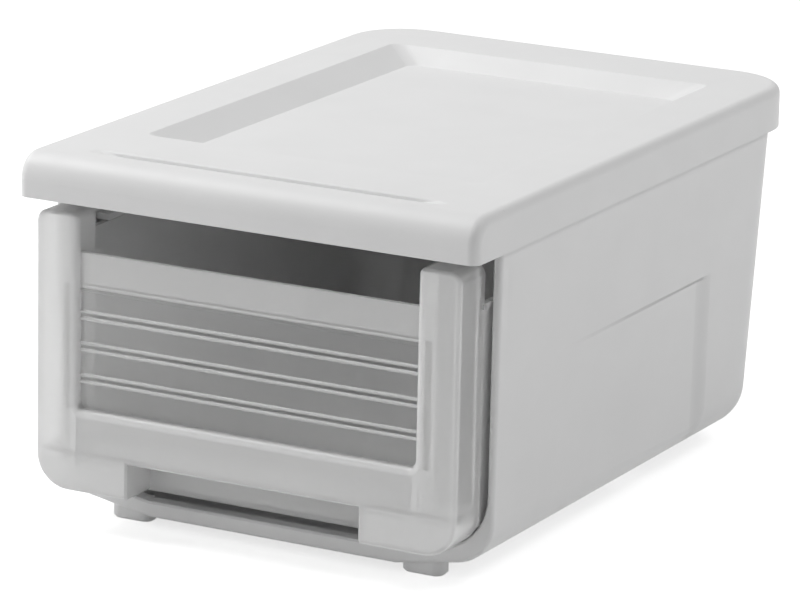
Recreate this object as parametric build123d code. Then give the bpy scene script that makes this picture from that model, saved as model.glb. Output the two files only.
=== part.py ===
from build123d import *
import os
from math import radians, tan

os.makedirs("parts", exist_ok=True)

# Stackable drawer box. Millimetres, +X right, -Y towards the drawer's front, +Z up.
# The origin is on the ground, under the middle of the lid.

# Overall
lid_width = 246.6
lid_depth = 360.0
total_height = 185.0

# Lid
lid_skirt = 21.6
lid_wall = 1.9
lid_back_radius = 34.0
lid_edge_radius = 5.0
lid_front_roll = 13.0
inner_chamfer = 0.9
tray_side_border = 32.1
tray_front_border = 64.5
tray_back_border = 42.9
tray_depth = 8.5
tray_side_run = 14.2
tray_end_run = 8.5
tray_corner_radius = 10.0
groove_end_border = 27.5
groove_setback = 18.3
groove_width = 6.5
groove_depth = 3.0
groove_ramp = 16.0
groove_side_run = 0.9
groove_end_radius = 1.8
top_rim_radius = 1.2
skin_spread = 0.8
lid_rib = 1.5
lid_rib_drop = 4.0
gusset_borders = (31.0, 95.0)
locator_pitch = 62.0

# Case
case_wall = 2.4
case_front_setback = 30.6
case_back_setback = 8.0
case_back_radius = 30.0
lid_side_clearance = 0.3
lid_seat_clearance = 0.3
side_draft = 0.63
back_lean = 6.6
foot_height = 4.3
base_rise = 8.8
base_inset = 51.5
base_back_radius = 60.0
base_edge_radius = 22.0
floor_chamfer = 12.0
front_edge_radius = 2.0
front_lip_chamfer = 1.0
rim_chamfer = 1.0
collar_depth = 8.0
collar_face = 3.2
opening_radius = 28.0
sill_height = 8.1
grip_front_setback = 71.0
grip_length = 147.0
grip_ramp = 15.0
grip_top = 102.0
grip_depth = 1.2
witness_setback = 2.4
witness_width = 9.5
witness_depth = 0.3
witness_top_drop = 9.0
witness_length = 62.0

# Feet
foot_width = 22.0
foot_depth = 12.0
rear_foot_depth = 34.0
foot_radius = 5.0
foot_chamfer = 1.2
foot_side_border = 28.2
foot_front_setback = 3.0
rear_foot_setback = 193.0

# Drawer front
frame_setback = 2.3
frame_depth = 24.5
frame_wall = 2.2
frame_side_gap = 1.9
frame_sill_gap = 8.2
frame_top_gap = 5.1
frame_radius = 17.0
frame_top_radius = 6.0
frame_edge_radius = 2.0
jamb_width = 22.6
window_bottom = 62.0
window_radius = 4.0
window_edge_radius = 4.2
fin_depth = 17.2
fin_drop = 5.0
notch_end_border = 51.0
notch_height = 18.0
notch_chamfer = 1.0
panel_recess = 3.5
panel_wall = 2.0
panel_drop = 19.2
band_height = 15.2
band_step = 0.8
bead_pitch = 15.7
bead_pairs = 3
bead_radius = 0.85
bead_spacing = 3.4

# Drawer tub
tub_wall = 2.0
tub_side_gap = 2.3
tub_draft = 0.9
tub_corner_radius = 24.0
tub_bottom_chamfer = 9.5
tub_bottom_radius = 14.0
tub_back_gap = 1.0
flange_height = 2.5
flange_gap = 1.1
flange_end_border = 52.0

# Running fits and the drawer's travel
runner_border = 37.0
runner_width = 2.5
runner_gap = 0.3
rail_gap = 0.6
rail_height = 3.0
rail_grip = 3.9
rail_front_setback = 25.0
drawer_travel = 240.0
stop_gap = 0.3
lug_reach = 1.0
lug_length = 12.0
lug_height = 36.0

# Lid and case places worked out from the sizes above
lid_half = lid_width / 2
lid_front_y = -lid_depth / 2
lid_back_y = lid_depth / 2
groove_front_y = lid_front_y + groove_setback
lid_bottom_z = total_height - lid_skirt
roof_z = total_height - lid_wall
rim_z = roof_z - lid_seat_clearance
rim_half = lid_half - lid_wall - lid_side_clearance
rim_back_y = lid_back_y - case_back_setback
case_front_y = lid_front_y + case_front_setback
collar_back_y = case_front_y + collar_depth
base_z = foot_height
edge_z = base_z + base_rise
floor_z = base_z + case_wall
sill_z = base_z + sill_height
reach = 1.0
hair = 0.01


def wall_half(z, inset=0.0):
    return rim_half - (rim_z - z) * tan(radians(side_draft)) - inset


def wall_back(z, inset=0.0):
    return rim_back_y - (rim_z - z) * tan(radians(back_lean)) - inset


# Drawer places worked out from the case
opening_half = wall_half(edge_z) - collar_face
frame_half = opening_half - frame_side_gap
frame_bottom = sill_z + frame_sill_gap
frame_top = lid_bottom_z - frame_top_gap
frame_y = lid_front_y + frame_setback
frame_back_y = frame_y + frame_depth
window_half = frame_half - jamb_width
notch_half = frame_half - notch_end_border
notch_top = frame_bottom + notch_height
fin_bottom = notch_top - fin_drop
panel_y = frame_y + panel_recess
field_y = panel_y + band_step
panel_top = frame_top - panel_drop
tub_half = opening_half - tub_side_gap
tub_bottom = frame_bottom
flange_half = opening_half - flange_gap
flange_back_y = rim_back_y - flange_end_border
runner_x = opening_half - runner_border


def box_between(x0, x1, y0, y1, z0, z1):
    middle = Pos((x0 + x1) / 2, (y0 + y1) / 2, (z0 + z1) / 2)
    return middle * Box(x1 - x0, y1 - y0, z1 - z0)


def both_sides(shape):
    return shape + mirror(shape, about=Plane.YZ)


# Plan outline with two round back corners and square front ones.
def plan(z, half, front_y, back_y, radius):
    outline = Pos(0, (front_y + back_y) / 2, z) * Rectangle(2 * half, back_y - front_y)
    return fillet(outline.vertices().group_by(Axis.Y)[-1], radius)


# Plan outline with four round corners.
def pad(z, half, front_y, back_y, radius):
    outline = Pos(0, (front_y + back_y) / 2, z) * Rectangle(2 * half, back_y - front_y)
    return fillet(outline.vertices(), radius)


# Upright outline, seen from the front, with its own radius at the bottom and the top corners.
def upright(y, half, bottom, top, low_radius, high_radius=0.0):
    outline = Plane.XZ.offset(-y) * Pos(0, (bottom + top) / 2) * Rectangle(2 * half, top - bottom)
    outline = fillet(outline.vertices().group_by(Axis.Z)[0], low_radius)
    if high_radius > 0:
        outline = fillet(outline.vertices().group_by(Axis.Z)[-1], high_radius)
    return outline


def swept_back(outline, depth):
    return extrude(outline, amount=-depth)


# Flat-faced solid that has one outline seen from the front and another seen from the side.
def crossed(front_outline, side_outline):
    across = Plane.XZ * make_face(Polyline(*front_outline, close=True))
    along = Plane.YZ * make_face(Polyline(*side_outline, close=True))
    return extrude(across, amount=lid_depth, both=True) & extrude(along, amount=lid_width, both=True)


# Edges behind the front that climb from one height.
def climbing(solid, front_y, low):
    edges = solid.edges().filter_by(lambda e: e.center().Y > front_y + reach)
    edges = edges.filter_by(lambda e: abs(e.bounding_box().min.Z - low) < hair)
    return edges.filter_by(lambda e: e.bounding_box().size.Z > reach)


# ---- case ----

# Drafted walls over a base whose underside slopes in to a flat middle.
def case_block(front_y, inset, top):
    low = base_z + inset
    edge = edge_z + inset
    edge_x = wall_half(edge, inset)
    edge_y = wall_back(edge, inset)
    top_x = wall_half(top, inset)
    top_y = wall_back(top, inset)
    flat_x = edge_x - base_inset
    flat_y = edge_y - base_inset
    from_front = [(-flat_x, low), (flat_x, low), (edge_x, edge), (top_x, top), (-top_x, top), (-edge_x, edge)]
    from_side = [(front_y, low), (flat_y, low), (edge_y, edge), (top_y, top), (front_y, top)]
    block = crossed(from_front, from_side)
    block = fillet(climbing(block, front_y, edge), case_back_radius - inset)
    block = fillet(climbing(block, front_y, low), base_back_radius - inset)
    brim = block.edges().filter_by(lambda e: e.center().Y > front_y + reach)
    brim = brim.filter_by(lambda e: low + base_rise / 2 < e.bounding_box().min.Z)
    brim = brim.filter_by(lambda e: e.bounding_box().max.Z < edge + reach)
    return fillet(brim, base_edge_radius) if inset == 0 else chamfer(brim, floor_chamfer)


# Hollow that starts level with the side wall, deepens towards the back and ramps out again.
def grip_wedge():
    front = case_front_y + grip_front_setback
    deepest = front + grip_length

    def section(z):
        face = wall_half(z)
        points = [(face, front), (face - grip_depth, deepest), (face, deepest + grip_ramp),
                  (face + reach, deepest + grip_ramp), (face + reach, front)]
        return Pos(0, 0, z) * make_face(Polyline(*points, close=True))
    return loft([section(base_z), section(grip_top)], ruled=True)


# Faint upright hollow behind the collar, deepest in its middle, that fades out downwards.
def witness_wedge():
    top = lid_bottom_z - witness_top_drop
    front = case_front_y + witness_setback

    def section(z, depth):
        face = wall_half(z)
        points = [(face, front), (face - depth, front + witness_width / 2), (face, front + witness_width),
                  (face + reach, front + witness_width), (face + reach, front)]
        return Pos(0, 0, z) * make_face(Polyline(*points, close=True))
    return loft([section(top - witness_length, hair), section(top, witness_depth)], ruled=True)


def foot(middle_y, depth):
    outer_x = wall_half(edge_z) - foot_side_border
    blank = extrude(pad(0, foot_width / 2, -depth / 2, depth / 2, foot_radius), amount=edge_z)
    sole = blank.edges().group_by(Axis.Z)[0]
    return Pos(outer_x - foot_width / 2, middle_y, 0) * chamfer(sole, foot_chamfer)


# Drawer's way in, its sill parallel to the underside.
def doorway():
    flat_x = wall_half(edge_z) - base_inset
    corner_z = sill_z + (opening_half - flat_x) * base_rise / base_inset
    top = rim_z + 2 * reach
    points = [(-flat_x, sill_z), (flat_x, sill_z), (opening_half, corner_z),
              (opening_half, top), (-opening_half, top), (-opening_half, corner_z)]
    outline = Plane.XZ.offset(reach - case_front_y) * make_face(Polyline(*points, close=True))
    corners = [v for v in outline.vertices() if abs(v.Z - corner_z) < hair]
    return swept_back(fillet(corners, opening_radius), collar_depth + 2 * reach)


# Edges of the case's front face, below its rim.
def mouth_edges(shell):
    edges = shell.edges().filter_by(lambda e: abs(e.center().Y - case_front_y) < hair)
    return edges.filter_by(lambda e: e.center().Z < rim_z - hair)


def around_opening(edge):
    c = edge.center()
    return abs(c.X) < opening_half + hair and c.Z > sill_z - hair


def make_case():
    outer = case_block(case_front_y, 0.0, rim_z)
    brink = [e for e in outer.edges().group_by(Axis.Z)[-1] if e.center().Y > case_front_y + hair]
    outer = chamfer(brink, rim_chamfer)
    cavity = case_block(collar_back_y, case_wall, rim_z + 2 * reach)
    shell = outer - cavity - doorway()
    shell = fillet([e for e in mouth_edges(shell) if not around_opening(e)], front_edge_radius)
    shell = chamfer([e for e in mouth_edges(shell) if around_opening(e)], front_lip_chamfer)

    runner_top = tub_bottom - runner_gap
    runner = box_between(runner_x - runner_width / 2, runner_x + runner_width / 2,
                         collar_back_y - reach, flange_back_y, floor_z - reach, runner_top)
    rail_z = panel_top + rail_gap
    rail = box_between(flange_half - rail_grip, rim_half, collar_back_y + rail_front_setback, flange_back_y,
                       rail_z, rail_z + rail_height)
    inside = both_sides(runner + rail) & outer

    front_foot = foot(case_front_y + foot_front_setback + foot_depth / 2, foot_depth)
    rear_foot = foot(case_front_y + rear_foot_setback, rear_foot_depth)
    feet = both_sides(front_foot + rear_foot) - cavity
    return shell + inside + feet - both_sides(grip_wedge()) - both_sides(witness_wedge())


# ---- lid ----

# Cap with round back corners, a large roll along the front and a small one elsewhere.
def lid_block(inset, bottom, top):
    half = lid_half - inset
    front = lid_front_y + inset
    back = lid_back_y - inset
    roll = lid_front_roll - inset
    body = extrude(plan(bottom, half, front, back, lid_back_radius - inset), amount=top - bottom)
    side = Plane.YZ * Pos((front + back) / 2, (bottom + top) / 2) * Rectangle(back - front, top - bottom)
    nose = side.vertices().group_by(Axis.Y)[0].sort_by(Axis.Z)[-1]
    body = body & extrude(fillet(nose, roll), amount=half + reach, both=True)

    def rolled(edge):
        c = edge.center()
        on_top = abs(c.Z - top) < hair and c.Y > front + roll + hair
        on_nose = abs(abs(c.X) - half) < hair and c.Y < front + roll and bottom + hair < c.Z < top - hair
        return on_top or on_nose
    edges = [e for e in body.edges() if rolled(e)]
    return fillet(edges, lid_edge_radius) if inset == 0 else chamfer(edges, inner_chamfer)


# Sloping-sided pocket in the lid's top; grow and drop turn it into the skin that hangs under it.
def pocket(half, front, back, depth, side_run, end_run, radius, grow=0.0, drop=0.0):
    top = total_height - drop
    low = top - depth
    brim = top + reach
    side_more = grow + reach * side_run / depth
    end_more = grow + reach * end_run / depth
    across = [(side_run - half - grow, low), (half - side_run + grow, low),
              (half + side_more, brim), (-half - side_more, brim)]
    along = [(front + end_run - grow, low), (back - end_run + grow, low),
             (back + end_more, brim), (front - end_more, brim)]
    solid = crossed(across, along)
    return fillet(climbing(solid, -lid_depth, low), radius + grow)


def tray(grow=0.0, drop=0.0):
    return pocket(lid_half - tray_side_border, lid_front_y + tray_front_border, lid_back_y - tray_back_border,
                  tray_depth, tray_side_run, tray_end_run, tray_corner_radius, grow, drop)


def groove(grow=0.0, drop=0.0):
    back = groove_front_y + groove_width
    return pocket(lid_half - groove_end_border, groove_front_y, back, groove_depth, groove_ramp,
                  groove_side_run, groove_end_radius, grow, drop)


def lid_ribs():
    z0 = lid_bottom_z + lid_rib_drop
    z1 = roof_z + lid_wall / 2
    cross_back = case_front_y - lid_side_clearance
    ribs = box_between(-lid_half, lid_half, cross_back - lid_rib, cross_back, z0, z1)
    for border in gusset_borders:
        x = lid_half - border
        ribs += both_sides(box_between(x - lid_rib / 2, x + lid_rib / 2, lid_front_y, cross_back, z0, z1))
    for x in (-locator_pitch, 0.0, locator_pitch):
        ribs += box_between(x - lid_rib / 2, x + lid_rib / 2,
                            rim_back_y + lid_side_clearance, lid_back_y, z0, z1)
    return ribs & lid_block(lid_wall / 2, lid_bottom_z, roof_z + lid_wall / 2)


def make_lid():
    shell = lid_block(0.0, lid_bottom_z, total_height) - lid_block(lid_wall, lid_bottom_z - reach, roof_z)
    skins = tray(skin_spread, lid_wall) + groove(skin_spread, lid_wall)
    lid = shell + skins + lid_ribs() - tray() - groove()
    lips = lid.edges().group_by(Axis.Z)[-1]
    lips = lips.filter_by(lambda e: abs(e.center().X) < lid_half - groove_end_border + hair)
    return fillet(lips.filter_by(lambda e: e.center().Y > groove_front_y - hair), top_rim_radius)


# ---- drawer ----

def frame_outline(y, inset=0.0):
    return upright(y, frame_half - inset, frame_bottom + inset, frame_top - inset,
                   frame_radius - inset, frame_top_radius - inset)


def frame_block():
    block = swept_back(frame_outline(frame_y), frame_depth)
    return fillet(block.edges().group_by(Axis.Y)[0], frame_edge_radius)


# Window cut, open at the top; grow makes the sleeve around it.
def window_cut(y, depth, grow=0.0):
    outline = upright(y, window_half + grow, window_bottom - grow, frame_top + reach, window_radius + grow)
    return swept_back(outline, depth)


def ribbed_panel():
    half = window_half + frame_wall / 2
    field = box_between(-half, half, field_y, field_y + panel_wall, window_bottom - frame_wall / 2, panel_top)
    band_bottom = panel_top - band_height
    band = box_between(-half, half, panel_y, field_y + panel_wall, band_bottom, panel_top)
    beads = Part()
    spots = [band_bottom - bead_spacing]
    for pair in range(1, bead_pairs + 1):
        middle = band_bottom - pair * bead_pitch
        spots += [middle - bead_spacing / 2, middle + bead_spacing / 2]
    for z in spots:
        beads += Pos(0, field_y, z) * Rot(0, 90, 0) * Cylinder(bead_radius, 2 * half)
    return field + band + beads


# Edges of the frame's front face within a half width and between two heights.
def face_edges(front, half, low, high):
    edges = front.edges().filter_by(lambda e: abs(e.center().Y - frame_y) < hair)
    edges = edges.filter_by(lambda e: abs(e.center().X) < half + hair)
    return edges.filter_by(lambda e: low - hair < e.center().Z < high + hair)


def drawer_front():
    block = frame_block()
    hollow = swept_back(frame_outline(frame_y + frame_wall, frame_wall), frame_depth)
    shell = block - hollow - window_cut(frame_y - reach, frame_depth + 2 * reach)
    sleeve = window_cut(frame_y, panel_recess + band_step + panel_wall, frame_wall)
    sleeve = sleeve - window_cut(frame_y - reach, frame_depth)
    fin_back_y = frame_y + fin_depth
    fin = box_between(window_half, window_half + frame_wall, frame_y, fin_back_y, fin_bottom, frame_top)
    roof = box_between(-frame_half, frame_half, frame_y, frame_back_y, notch_top, notch_top + frame_wall)
    cheek = box_between(notch_half, notch_half + frame_wall, frame_y, frame_back_y, frame_bottom, notch_top)
    inner = (sleeve + both_sides(fin + cheek) + roof) & block
    notch = box_between(-notch_half, notch_half, frame_y - reach, frame_back_y - frame_wall,
                        frame_bottom - reach, notch_top)
    front = shell + inner + back_plate() - notch
    front = fillet(face_edges(front, window_half, window_bottom, frame_top), window_edge_radius)
    return chamfer(face_edges(front, notch_half, frame_bottom, notch_top), notch_chamfer)


# Closes the frame's back around the way into the tub.
def back_plate():
    plate = swept_back(frame_outline(frame_back_y - frame_wall), frame_wall)
    way_half = tub_side(notch_top) - tub_wall
    way = box_between(-way_half, way_half, frame_y, frame_back_y + reach,
                      notch_top + frame_wall, frame_top + reach)
    return plate - way


def tub_side(z):
    return tub_half - (panel_top - z) * tan(radians(tub_draft))


# Drafted tub, its back wall parallel to the case's.
def tub_block(inset, bottom, top, front_y):
    low_x = tub_side(bottom) - inset
    top_x = tub_side(top) - inset
    low_y = wall_back(bottom, case_wall + tub_back_gap + inset)
    top_y = wall_back(top, case_wall + tub_back_gap + inset)
    block = crossed([(-low_x, bottom), (low_x, bottom), (top_x, top), (-top_x, top)],
                    [(front_y, bottom), (low_y, bottom), (top_y, top), (front_y, top)])
    block = fillet(climbing(block, front_y, bottom), tub_corner_radius - inset)
    low = block.edges().group_by(Axis.Z)[0].filter_by(lambda e: e.center().Y > front_y + reach)
    return chamfer(low, tub_bottom_chamfer) if inset == 0 else fillet(low, tub_bottom_radius)


def make_drawer():
    body = tub_block(0.0, tub_bottom, panel_top, frame_back_y - frame_wall)
    flange = box_between(tub_half - 2 * tub_wall, flange_half, frame_back_y - frame_wall, flange_back_y,
                         panel_top - flange_height, panel_top)
    lug_y = collar_back_y + drawer_travel + stop_gap
    lug = box_between(tub_half - 2 * tub_wall, opening_half + lug_reach, lug_y, lug_y + lug_length,
                      panel_top - lug_height, panel_top)
    hollow = tub_block(tub_wall, tub_bottom + tub_wall, panel_top + reach, frame_back_y)
    mouth_half = tub_side(notch_top) - tub_wall
    mouth = box_between(-mouth_half, mouth_half, frame_back_y - frame_wall - reach, frame_back_y + reach,
                        notch_top + frame_wall, frame_top)
    tub = body + both_sides(flange + lug) - hollow - mouth
    return drawer_front() + tub + ribbed_panel()


def main():
    print("case")
    export_step(make_case(), "parts/case.step")
    print("lid")
    export_step(make_lid(), "parts/lid.step")
    print("drawer")
    export_step(make_drawer(), "parts/drawer.step")


main()
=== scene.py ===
from math import cos, radians, sin

import bpy
from mathutils import Matrix, Vector

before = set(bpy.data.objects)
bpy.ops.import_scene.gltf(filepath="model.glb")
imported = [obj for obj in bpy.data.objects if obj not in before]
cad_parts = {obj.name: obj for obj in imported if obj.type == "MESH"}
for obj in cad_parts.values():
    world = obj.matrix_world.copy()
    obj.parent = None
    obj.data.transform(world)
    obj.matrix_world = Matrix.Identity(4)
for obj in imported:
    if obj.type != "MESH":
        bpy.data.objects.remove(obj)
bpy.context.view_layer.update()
scene = bpy.context.scene


# The camera stands where the photograph was taken from.
cameraView = {
    "azimuth": 28.263,  # degrees round from the drawer's front, towards +X
    "elevation": 15.023,
    "roll": 1.165,
    "distance": 2.5037,  # metres from the aim point
    "aim": (-0.00897, -0.02577, 0.09426),
    "lens": 227.53,
    "sensorWidth": 36.0,
    "farClip": 100.0,
    "shift": (0.0247, 0.0003),
}


def makeCamera(view):
    azimuth, elevation, roll = (radians(view[k]) for k in ("azimuth", "elevation", "roll"))
    back = Vector((sin(azimuth) * cos(elevation), -cos(azimuth) * cos(elevation), sin(elevation)))
    level = Vector((cos(azimuth), sin(azimuth), 0))
    right = cos(roll) * level + sin(roll) * back.cross(level)
    up = back.cross(right)
    data = bpy.data.cameras.new("camera")
    data.sensor_width = view["sensorWidth"]
    data.lens = view["lens"]
    data.shift_x, data.shift_y = view["shift"]
    data.clip_end = view["farClip"]
    camera = bpy.data.objects.new("camera", data)
    scene.collection.objects.link(camera)
    turn = Matrix((right, up, back)).transposed().to_4x4()
    camera.matrix_world = Matrix.Translation(Vector(view["aim"]) + back * view["distance"]) @ turn
    scene.camera = camera


makeCamera(cameraView)
print("camera placed")


def newTree(owner):
    owner.use_nodes = True
    tree = owner.node_tree
    tree.nodes.clear()
    return tree


# Makes a node; each input is a plain value or another node's socket.
def addNode(tree, kind, inputs=None, **settings):
    node = tree.nodes.new(kind)
    for key, value in settings.items():
        setattr(node, key, value)
    for key, value in (inputs or {}).items():
        if isinstance(value, bpy.types.NodeSocket):
            tree.links.new(value, node.inputs[key])
        else:
            node.inputs[key].default_value = value
    return node


# Maps start to low and end to high, and holds both beyond.
def mapped(tree, value, start, end, low, high, **settings):
    inputs = {"Value": value, "From Min": start, "From Max": end, "To Min": low, "To Max": high}
    return addNode(tree, "ShaderNodeMapRange", inputs, **settings).outputs["Result"]


def blend(tree, share, start, end):
    return mapped(tree, share, 0.0, 1.0, start, end)


def combined(tree, operation, first, second):
    return addNode(tree, "ShaderNodeMath", {0: first, 1: second}, operation=operation).outputs[0]


noise = {
    "detail": {"colour": 3.0, "gloss": 2.0, "paper": 2.0, "grain": 1.0, "flow": 1.0},
    "low": 0.3,  # nearly all of a noise lies between these two
    "high": 0.7,
}


def noiseAt(tree, place, scale, purpose):
    inputs = {"Vector": place, "Scale": scale, "Detail": noise["detail"][purpose]}
    return addNode(tree, "ShaderNodeTexNoise", inputs).outputs["Fac"]


# Stretches a noise so that it runs from low to high.
def spread(tree, value, low, high):
    return mapped(tree, value, noise["low"], noise["high"], low, high)


studio = {
    "floorSize": 30.0,
    "floorColour": 0.86,
    "floorMottle": 0.01,  # how far the colour drifts, light and dark
    "floorMottleScale": 3.0,
    "floorLift": 0.65,  # added for looking rays alone, so that the floor reads as white
    "skyLevel": 0.32,
    "lamps": {  # place, target, size in metres, watts
        "leftHigh": ((-1.27, -0.3, 1.62), (0.0, 0.0, 0.1), 1.1, 24.0),
        "frontLeft": ((-1.5, -1.5, 0.32), (0.0, -0.1, 0.08), 1.0, 6.4),
        "rightHigh": ((1.3, 0.4, 1.7), (0.0, 0.0, 0.1), 0.6, 7.0),
        "rightLow": ((2.0, 0.5, 0.5), (0.0, 0.0, 0.1), 0.8, 3.0),
    },
}


# 1 for a ray that looks straight, in a mirror or through plastic, and 0 for light on its way to the object.
def lookingRay(tree):
    path = addNode(tree, "ShaderNodeLightPath").outputs
    found = path["Is Camera Ray"]
    for name in ("Is Glossy Ray", "Is Transmission Ray"):
        found = combined(tree, "MAXIMUM", found, path[name])
    return found


def makeFloor():
    bpy.ops.mesh.primitive_plane_add(size=studio["floorSize"])
    floor = bpy.context.object
    floor.name = "floor"
    material = bpy.data.materials.new("palePaper")
    tree = newTree(material)
    place = addNode(tree, "ShaderNodeTexCoord").outputs["Object"]
    mottle = noiseAt(tree, place, studio["floorMottleScale"], "paper")
    low, high = (studio["floorColour"] + side * studio["floorMottle"] for side in (-1, 1))
    grey = spread(tree, mottle, low, high)
    colour = addNode(tree, "ShaderNodeCombineColor", {0: grey, 1: grey, 2: grey}).outputs[0]
    paper = addNode(tree, "ShaderNodeBsdfDiffuse", {"Color": colour}).outputs[0]
    lift = combined(tree, "MULTIPLY", lookingRay(tree), studio["floorLift"])
    glow = addNode(tree, "ShaderNodeEmission", {"Strength": lift}).outputs[0]
    both = addNode(tree, "ShaderNodeAddShader", {0: paper, 1: glow}).outputs[0]
    addNode(tree, "ShaderNodeOutputMaterial", {"Surface": both})
    floor.data.materials.append(material)


def makeSky():
    world = bpy.data.worlds.new("studio")
    scene.world = world
    tree = newTree(world)
    level = blend(tree, lookingRay(tree), studio["skyLevel"], 1.0)
    sky = addNode(tree, "ShaderNodeBackground", {"Strength": level}).outputs[0]
    addNode(tree, "ShaderNodeOutputWorld", {"Surface": sky})


def makeLamp(name, place, target, size, watts):
    data = bpy.data.lights.new(name, "AREA")
    data.size = size
    data.energy = watts
    lamp = bpy.data.objects.new(name, data)
    scene.collection.objects.link(lamp)
    aim = (Vector(target) - Vector(place)).to_track_quat("-Z", "Y")
    lamp.matrix_world = Matrix.Translation(place) @ aim.to_matrix().to_4x4()


makeFloor()
makeSky()
for name, settings in studio["lamps"].items():
    makeLamp(name, *settings)
scene.view_settings.view_transform = "Standard"
print("studio lit")


whitePlastic = {
    "colour": (0.87, 0.87, 0.87),
    "mottle": 0.012,  # how far the colour drifts, light and dark
    "mottleScale": 22.0,  # features per metre
    "roughness": (0.42, 0.50),
    "roughnessScale": 110.0,
    "grainScale": 1400.0,
    "grainHeight": 0.00003,
    "flowScale": 14.0,
    "flowHeight": 0.0006,
    "ior": 1.49,
    "coat": 0.0,
    "coatRoughness": 0.2,
}

farOff = 1.0  # past the object on every side

frostedPlastic = {
    "colour": (0.965, 0.965, 0.963),
    "mottle": 0.01,
    "mottleScale": 30.0,
    "roughness": (0.30, 0.38),
    "roughnessScale": 150.0,
    "grainScale": 1800.0,
    "grainHeight": 0.00002,
    "flowScale": 16.0,
    "flowHeight": 0.0004,
    "clearness": 0.58,
    "zoneEdge": 0.0004,
    "zones": {  # |x|, y and z from and to in metres, then clearness; a later zone covers an earlier one
        "frame front": ((-farOff, farOff), (-0.181, -0.1768), (-farOff, farOff), 0.48),
        "tub": ((-farOff, farOff), (-0.152, farOff), (-farOff, farOff), 0.28),
        "frame sides": ((0.1119, farOff), (-0.1755, -0.1528), (0.02, 0.157), 0.84),
        "behind the notch": ((-farOff, 0.063), (-0.156, -0.1525), (-farOff, 0.0384), 0.80),
        # painted light: the fins are opaque here, a brighter copy of the frosted plastic where light falls on
        # their faces
        "fins": ((0.0905, 0.0945), (-0.172, -0.160), (0.139, 0.157), 0.0),
        "frame foot": ((-farOff, farOff), (-0.181, -0.172), (-farOff, 0.036), 0.35),
        "polished field": ((-farOff, 0.0915), (-0.176, -0.168), (0.062, 0.1235), 0.88),
        "beside the fins": ((0.0958, 0.0998), (-0.178, -0.172), (0.062, 0.124), 0.88),
        # milkier where the fins meet the front plate, and a painted highlight along the jamb's inner edge
        "fin roots": ((0.0915, 0.0943), (-0.178, -0.172), (0.034, 0.157), 0.15),
        "notch roof": ((0.062, 0.113), (-0.178, -0.175), (0.0384, 0.041), 0.40),
        # painted highlight: a milkier strip along the rail's top rounding
        "painted rail edge highlight": ((-farOff, 0.0935), (-0.178, -0.172), (0.0585, 0.0615), 0.20),
        # milkier where the front and sides meet, and a painted highlight along the frame's rounded outer
        # corners
        "frame corners": ((0.1117, farOff), (-0.178, -0.1755), (0.03, 0.157), 0.20),
    },
    "beads": {
        "top": 0.1239,
        "low": 0.070,
        "pitch": 0.0157,
        "offset": 0.0017,  # from a pair's middle to each crest
        "half": 0.0004,  # half of a crest's width
        # milkier crests paint a highlight along each bead
        "crest": 0.42,  # clearness on a crest
        # a clearer strip between the crests paints the shade under a bead
        "between": 0.96,  # clearness between the two
    },
    "ior": 1.12,  # below the real plastic's, so that the thin walls hardly bend what shows through
    "coat": 0.5,
    "coatRoughness": 0.2,
}


# 1 between two limits, 0 outside them, with a soft step at each.
def between(tree, value, low, high, soft):
    rise = mapped(tree, value, low - soft, low, 0.0, 1.0)
    fall = mapped(tree, value, high, high + soft, 1.0, 0.0)
    return combined(tree, "MULTIPLY", rise, fall)


# How clear the plastic is: milkier where walls meet, which also paints highlights along those edges; milkier
# on bead crests and the rail's top edge as painted highlights; clearer between bead crests as painted shade;
# opaque on the fins as painted light; clearer where it is polished.
def clearness(tree, place, look):
    x, y, z = addNode(tree, "ShaderNodeSeparateXYZ", {0: place}).outputs
    sideways = addNode(tree, "ShaderNodeMath", {0: x}, operation="ABSOLUTE").outputs[0]
    level = look["clearness"]
    for name, (*limits, zoneLevel) in look["zones"].items():
        inside = 1.0
        for axis, (low, high) in zip((sideways, y, z), limits):
            if (low, high) != (-farOff, farOff):
                inside = combined(tree, "MULTIPLY", inside, between(tree, axis, low, high, look["zoneEdge"]))
        if name == "polished field":
            zoneLevel = beadPattern(tree, z, zoneLevel, look)
        level = blend(tree, inside, level, zoneLevel)
    return level


# Pairs of beads at an even pitch below the panel's band: milkier crests paint the beads' highlights, and a
# clearer strip between them paints their shade.
def beadPattern(tree, z, level, look):
    beads = look["beads"]
    edge = look["zoneEdge"]
    drop = combined(tree, "SUBTRACT", beads["top"], z)
    away = combined(tree, "PINGPONG", drop, beads["pitch"] / 2)
    low, high = beads["offset"] - beads["half"], beads["offset"] + beads["half"]
    above = between(tree, z, beads["low"], farOff, edge)
    crest = combined(tree, "MULTIPLY", between(tree, away, low, high, edge), above)
    middle = between(tree, away, -farOff, low - edge, edge)
    level = blend(tree, middle, level, beads["between"])
    return blend(tree, crest, level, beads["crest"])


# Relief added over the set-in part of each side wall, which is moulded too shallow for its edges to read.
sideHollow = {
    "start": -0.095,  # y where it is level with the wall
    "deepest": 0.0686,
    "end": 0.0836,
    "top": 0.102,  # z of its upper edge
    "ledge": 0.0020,
    "depth": 0.0021,
}


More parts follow.
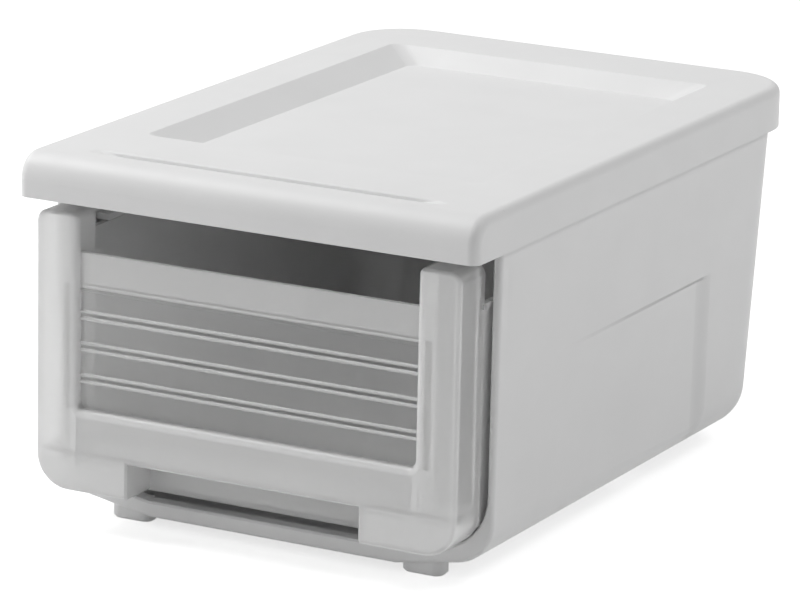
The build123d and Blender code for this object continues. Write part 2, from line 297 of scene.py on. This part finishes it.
def hollowHeight(tree, place, hollow):
    y, z = addNode(tree, "ShaderNodeSeparateXYZ", {0: place}).outputs[1:]
    fall = mapped(tree, y, hollow["start"], hollow["deepest"], 0.0, -hollow["depth"])
    rise = mapped(tree, y, hollow["deepest"], hollow["end"], 1.0, 0.0, interpolation_type="SMOOTHSTEP")
    below = mapped(tree, z, hollow["top"] - hollow["ledge"], hollow["top"], 1.0, 0.0)
    return combined(tree, "MULTIPLY", fall, combined(tree, "MULTIPLY", rise, below))


def bumped(tree, height, distance, normal=None):
    inputs = {"Height": height, "Distance": distance}
    if normal:
        inputs["Normal"] = normal
    return addNode(tree, "ShaderNodeBump", inputs).outputs[0]


def mouldedPlastic(name, look, hollow=None):
    material = bpy.data.materials.new(name)
    tree = newTree(material)
    place = addNode(tree, "ShaderNodeTexCoord").outputs["Object"]
    mottle = noiseAt(tree, place, look["mottleScale"], "colour")
    drift = spread(tree, mottle, 1 - look["mottle"], 1 + look["mottle"])
    tint = {0: look["colour"], "Scale": drift}
    colour = addNode(tree, "ShaderNodeVectorMath", tint, operation="SCALE").outputs[0]
    roughness = spread(tree, noiseAt(tree, place, look["roughnessScale"], "gloss"), *look["roughness"])
    bump = bumped(tree, noiseAt(tree, place, look["flowScale"], "flow"), look["flowHeight"])
    if hollow:
        bump = bumped(tree, hollowHeight(tree, place, hollow), 1.0, bump)  # its height is in metres already
    bump = bumped(tree, noiseAt(tree, place, look["grainScale"], "grain"), look["grainHeight"], bump)
    shader = addNode(tree, "ShaderNodeBsdfPrincipled", {
        "Base Color": colour,
        "Roughness": roughness,
        "Normal": bump,
        "IOR": look["ior"],
        "Transmission Weight": clearness(tree, place, look) if "zones" in look else 0.0,
        "Coat Weight": look["coat"],
        "Coat Roughness": look["coatRoughness"],
    })
    addNode(tree, "ShaderNodeOutputMaterial", {"Surface": shader.outputs[0]})
    return material


def dress(node, material):
    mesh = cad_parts[node].data
    mesh.materials.clear()
    mesh.materials.append(material)


dress("case", mouldedPlastic("whiteCase", whitePlastic, sideHollow))
dress("lid", mouldedPlastic("whiteLid", whitePlastic))
dress("drawer", mouldedPlastic("frostedDrawer", frostedPlastic))
print("plastics applied")
